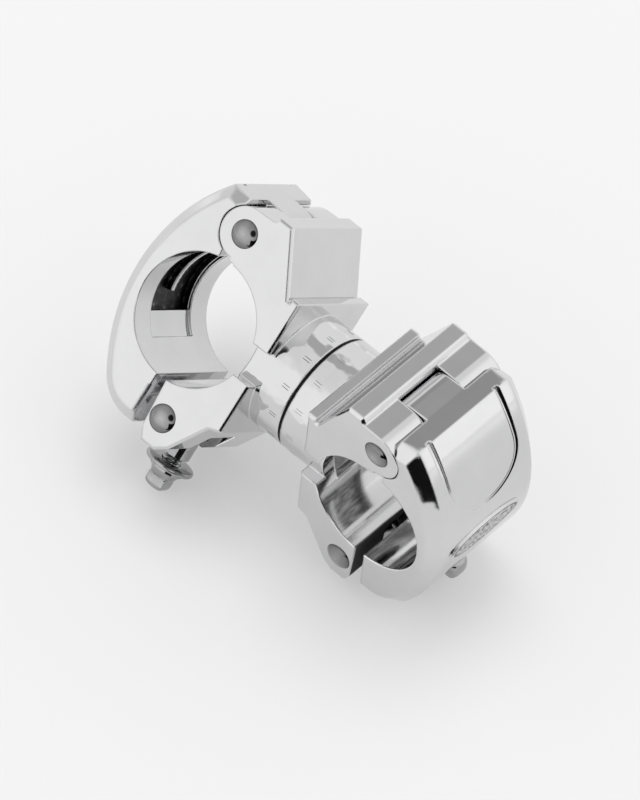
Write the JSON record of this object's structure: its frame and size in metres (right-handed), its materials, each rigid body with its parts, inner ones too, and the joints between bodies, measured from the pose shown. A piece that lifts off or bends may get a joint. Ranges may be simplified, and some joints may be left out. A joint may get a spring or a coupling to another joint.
{
  "type": "swivel tube clamp",
  "caption": "Chrome swivel clamp joining two 38 mm rack tubes: two hinged clamps on a turning barrel, each closed by a swing screw.",
  "frame": {"origin": "centre of the right tube seat", "axes": "+Y along the right tube, +X along the swivel barrel from the left clamp to the right one, +Z towards the right clamp's hinge"},
  "size_m": [0.123, 0.0816, 0.0836],
  "materials": {
    "chrome_casting": "polished chrome plate on a zinc casting",
    "dark_steel": "plain steel rivet, domed and darker than the plate",
    "bright_steel": "plated steel, satin",
    "zinc_hardware": "zinc plated steel",
    "friction_ring": "black friction ring"
  },
  "bodies": {
    "right_clamp": {"right_clamp_body": "chrome_casting", "right_hinge_rivet": "dark_steel", "right_screw_rivet": "dark_steel", "seam_ring": "friction_ring", "swivel_bolt": "zinc_hardware", "disc_spring": "zinc_hardware", "swivel_nut": "zinc_hardware"},
    "left_clamp": {"left_clamp_body": "chrome_casting", "left_hinge_rivet": "dark_steel", "left_screw_rivet": "dark_steel"},
    "right_cap": {"right_clamp_cap": "chrome_casting"},
    "left_cap": {"left_clamp_cap": "chrome_casting"},
    "right_swing_nut": {"right_eye_nut": "bright_steel"},
    "left_swing_nut": {"left_eye_nut": "bright_steel"},
    "right_washer": {"right_screw_washer": "bright_steel"},
    "left_washer": {"left_screw_washer": "bright_steel"},
    "right_screw": {"right_key_screw": "bright_steel"},
    "left_screw": {"left_key_screw": "bright_steel"}
  },
  "joints": [
    {"name": "swivel", "type": "hinge", "parent": "right_clamp", "child": "left_clamp", "pos_m": [-0.0357, 0, 0], "axis": [1, 0, 0], "continuous": true},
    {"name": "right_cap_hinge", "type": "hinge", "parent": "right_clamp", "child": "right_cap", "pos_m": [0.001, 0, 0.0283], "axis": [0, -1, 0], "range_deg": [-4, 4]},
    {"name": "right_screw_swing", "type": "hinge", "parent": "right_clamp", "child": "right_swing_nut", "pos_m": [-0.0074, 0, -0.0283], "axis": [0, -1, 0], "range_deg": [-118, 0]},
    {"name": "right_screw_travel", "type": "slide", "parent": "right_swing_nut", "child": "right_washer", "axis": [1, 0, 0], "range_m": [-0.00475, 0.0014]},
    {"name": "right_screw_turn", "type": "hinge", "parent": "right_washer", "child": "right_screw", "pos_m": [-0.0074, 0, -0.0283], "axis": [1, 0, 0], "range_deg": [-1711, 505]},
    {"name": "left_cap_hinge", "type": "hinge", "parent": "left_clamp", "child": "left_cap", "pos_m": [-0.0724, 0.01912, 0.02087], "axis": [0, 0.7373, -0.6756], "range_deg": [-4, 54]},
    {"name": "left_screw_swing", "type": "hinge", "parent": "left_clamp", "child": "left_swing_nut", "pos_m": [-0.064, -0.01912, -0.02087], "axis": [0, 0.7373, -0.6756], "range_deg": [-28, 90]},
    {"name": "left_screw_travel", "type": "slide", "parent": "left_swing_nut", "child": "left_washer", "axis": [0, -0.6756, -0.7373], "range_m": [-0.00175, 0.0044]},
    {"name": "left_screw_turn", "type": "hinge", "parent": "left_washer", "child": "left_screw", "pos_m": [-0.064, -0.01912, -0.02087], "axis": [0, -0.6756, -0.7373], "range_deg": [-631, 1585]}
  ],
  "couplings": [
    {"joint": "right_screw_turn", "follows": "right_screw_travel", "rad_per_m": 6283.2},
    {"joint": "left_screw_turn", "follows": "left_screw_travel", "rad_per_m": 6283.2}
  ]
}
